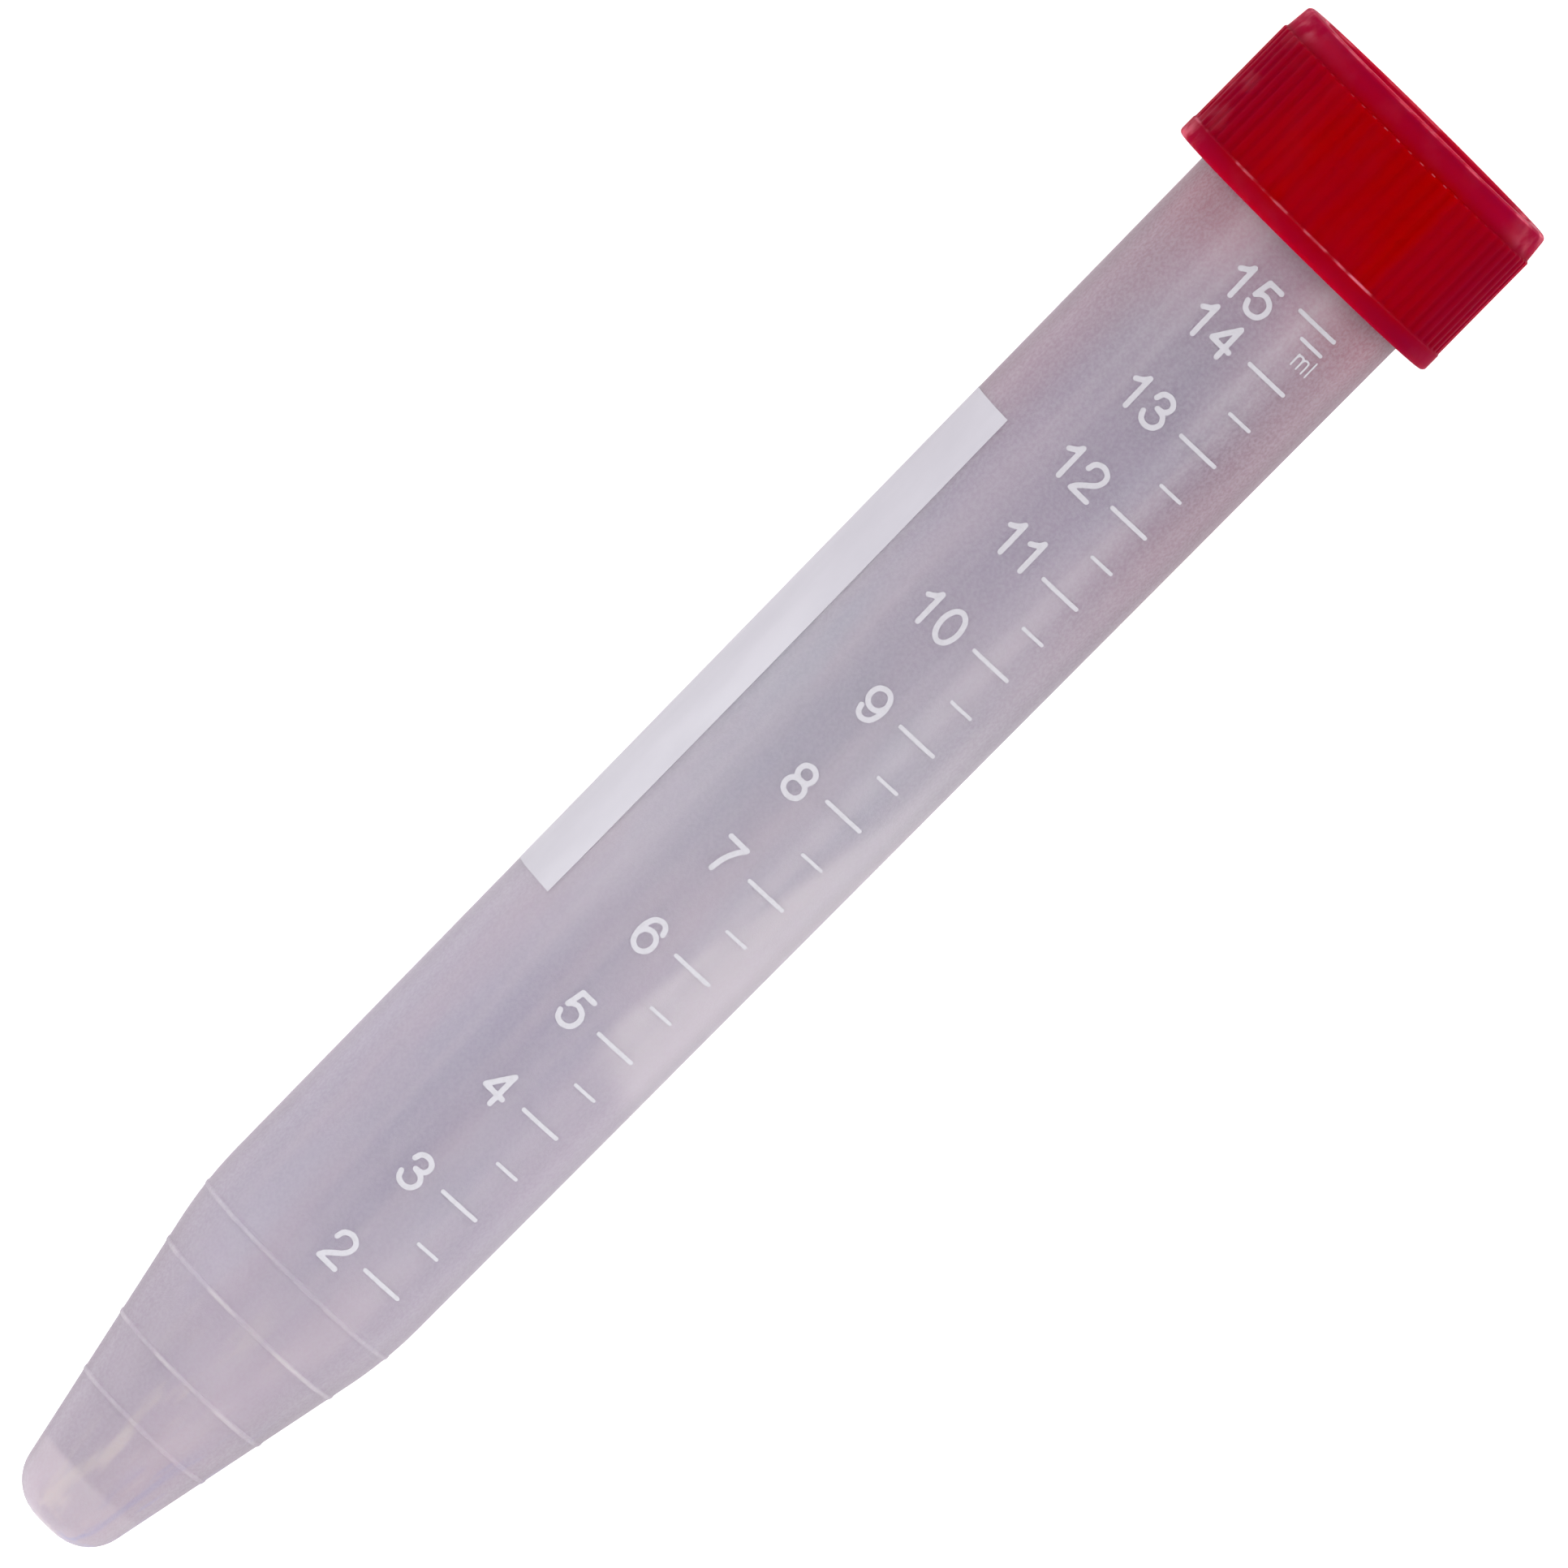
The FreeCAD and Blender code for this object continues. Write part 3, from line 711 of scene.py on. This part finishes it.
# Painted light: the band and the foot take a magenta tint from the bluish room light.
top_band = height.band((rib_end - 0.1) * MM, (rib_end + 0.8) * MM, 0.0, 0.6)
foot_band = height.band((CAP_BASE + 0.4) * MM, (ring_top + 0.2) * MM, 0.5, 0.0)
tone = (top_band + foot_band).blend(tone, (0.25, 0.001, 0.020))
reach = place.vector("SUBTRACT", lying.translation).along(outward)
# Painted shade: the rim round the top is darkened.
on_rim = height.band((top - 0.9) * MM, (top - 0.1) * MM) * reach.band(recess * MM, top_edge * MM)
tone = (on_rim * 0.45).blend(tone, (0.10, 0.001, 0.022))
# Painted shade: the band and the foot darken further at the outline.
tone = (aside.band(0.7, 1.0) * (top_band + foot_band) * 0.6).blend(tone, (0.12, 0.001, 0.014))
# Painted shade: the foot is darker on its right side.
tone = (turn.band(0.2, 0.9) * foot_band).blend(tone, (0.12, 0.001, 0.014))

# Painted highlights lie along its edges: the ring's top edge and the rim in places, and the top end of
# each rib. A pale haze, partly scuffs from handling and partly painted sheen that grows towards the
# outline, lies over the band, and over the foot on its left.
glint_patches = place.clouds(420, 3).band(0.45, 0.65)
sheen_zones = top_band + (foot_band + 0.12) * turn.band(-0.4, 0.4, 1.3, 0.1)
pale_sheen = glint_patches * (aside.band(0.75, 1.05) + 0.05) * sheen_zones
tone = (pale_sheen * 0.65).blend(tone, (0.46, 0.12, 0.16))
angle = turn.sum("ARCTAN2", turn, outward.along(right.cross(axis)))
rib = (angle / rib_angle).sum("FRACT", angle / rib_angle, 0.0)
rib_crest = (rib - 0.5).size().band(0.08, 0.20, 1.0, 0.0)
# Painted highlights: glints on the top end of each rib, along the ring's top edge and along the rim,
# blended pale into the colour.
rib_tip = (height - (rib_end - BAND_SLOPE / 2) * MM).size().band(0.01 * MM, 0.06 * MM, 0.34, 0.0)
rib_tip = rib_tip * place.clouds(700, 2).band(0.40, 0.60, 0.25, 1.0)
ring_edge = (height - (ring_top - RING_SLOPE / 2) * MM).size().band(0.03 * MM, 0.12 * MM, 0.7, 0.0)
rim_edge = (height - (top - 0.08) * MM).size().band(0.02 * MM, 0.09 * MM, 0.35, 0.0)
edge_glints = rib_tip * rib_crest * aside.band(0.30, 0.65, 1.0, 0.1) + rim_edge * (0.15 + glint_patches * 0.75)
outer_side = reach.band(bore * MM, (bore + 0.6) * MM) * aside.band(0.35, 0.90, 1.0, 0.25)
edge_glints = edge_glints + ring_edge * outer_side * (0.04 + glint_patches * 0.96)
tone = edge_glints.blend(tone, (0.62, 0.18, 0.24))
grain = place.clouds(7000, 3)
feed(shader, Base_Color=tone, Roughness=0.36 + flow * 0.12, Normal=grain.bump(0.25, 0.00002))

cap.data.materials.append(red)
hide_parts("cap")
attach(cap, "cap_body")

# ------------------------------------------------------------------------------------ floor
# The floor is a wide sheet of white acrylic on a light table: it glows evenly, so the lying
# tube is lit from below too and its shadow stays faint.

FLOOR_REACH = 4.0
mesh = bpy.data.meshes.new("floor_sheet")
mesh.from_pydata([(-FLOOR_REACH, -FLOOR_REACH, 0), (FLOOR_REACH, -FLOOR_REACH, 0),
                  (FLOOR_REACH, FLOOR_REACH, 0), (-FLOOR_REACH, FLOOR_REACH, 0)], [], [(0, 1, 2, 3)])
floor = bpy.data.objects.new("floor_sheet", mesh)
bpy.context.scene.collection.objects.link(floor)
acrylic, shader, place = finish("white_acrylic", {
    "Base Color": (0.80, 0.80, 0.80, 1),
    "Roughness": 0.9,
    "Specular IOR Level": 0.0,
    "Emission Color": (1, 1, 1, 1),
    "Emission Strength": 0.55,
})
floor.data.materials.append(acrylic)

# ----------------------------------------------------------------------- light and camera
# Four large soft boxes stand round the sheet, brighter ones at the sides of the tube and dimmer
# ones at its ends. The room is a pale grey.

world = bpy.data.worlds.new("pale_room")
world.use_nodes = True
room = world.node_tree.nodes["Background"]
room.inputs["Color"].default_value = (1.0, 1.0, 1.0, 1)
room.inputs["Strength"].default_value = 0.45
bpy.context.scene.world = world

BOX_AIM = 0.062                       # up the tube, in metres
middle = lying @ Vector((0, 0, BOX_AIM))
SOFT_BOXES = [
    # name, from the middle of the tube in metres, width, height, watts
    ("box_left", (-0.25, 1.1, 0.75), 1.4, 0.7, 14),
    ("box_right", (0.25, -1.1, 0.75), 1.4, 0.7, 14),
    ("box_cap_end", (1.3, 0.1, 0.9), 0.9, 0.7, 7),
    ("box_tip_end", (-1.3, -0.1, 0.9), 0.9, 0.7, 7),
]
for name, offset, width, height, watts in SOFT_BOXES:
    lamp = bpy.data.lights.new(name, "AREA")
    lamp.shape, lamp.size, lamp.size_y, lamp.energy = "RECTANGLE", width, height, watts
    box = bpy.data.objects.new(name, lamp)
    box.location = middle + Vector(offset)
    box.rotation_mode = "QUATERNION"
    box.rotation_quaternion = (-Vector(offset)).to_track_quat("-Z", "Y")
    box.visible_camera = False
    bpy.context.scene.collection.objects.link(box)

# The camera looks down on the print, from a little beyond the cap, with a very long lens. The
# tube climbs from lower left to upper right.
CAMERA_AWAY, CAMERA_ALONG = 2.067, 0.170
LENS, SENSOR_WIDTH = 777, 36
NEAREST, FARTHEST = 0.1, 20
AIM_RIGHT, AIM_ALONG, CLIMB = 0.00037, 0.0641, math.radians(45.4)
camera = bpy.data.objects.new("camera", bpy.data.cameras.new("camera"))
bpy.context.scene.collection.objects.link(camera)
camera.data.lens, camera.data.sensor_width = LENS, SENSOR_WIDTH
camera.data.clip_start, camera.data.clip_end = NEAREST, FARTHEST
eye = lying @ Vector((0, -CAMERA_AWAY, CAMERA_ALONG))
aim = lying @ Vector((AIM_RIGHT, 0, AIM_ALONG))
back = (eye - aim).normalized()
ahead = (axis - back * axis.dot(back)).normalized()
beside = back.cross(ahead)
across = ahead * math.cos(CLIMB) - beside * math.sin(CLIMB)
pose = Matrix((across, back.cross(across), back)).transposed().to_4x4()
pose.translation = eye
camera.matrix_world = pose
bpy.context.scene.camera = camera
bpy.context.scene.view_settings.view_transform = "Standard"
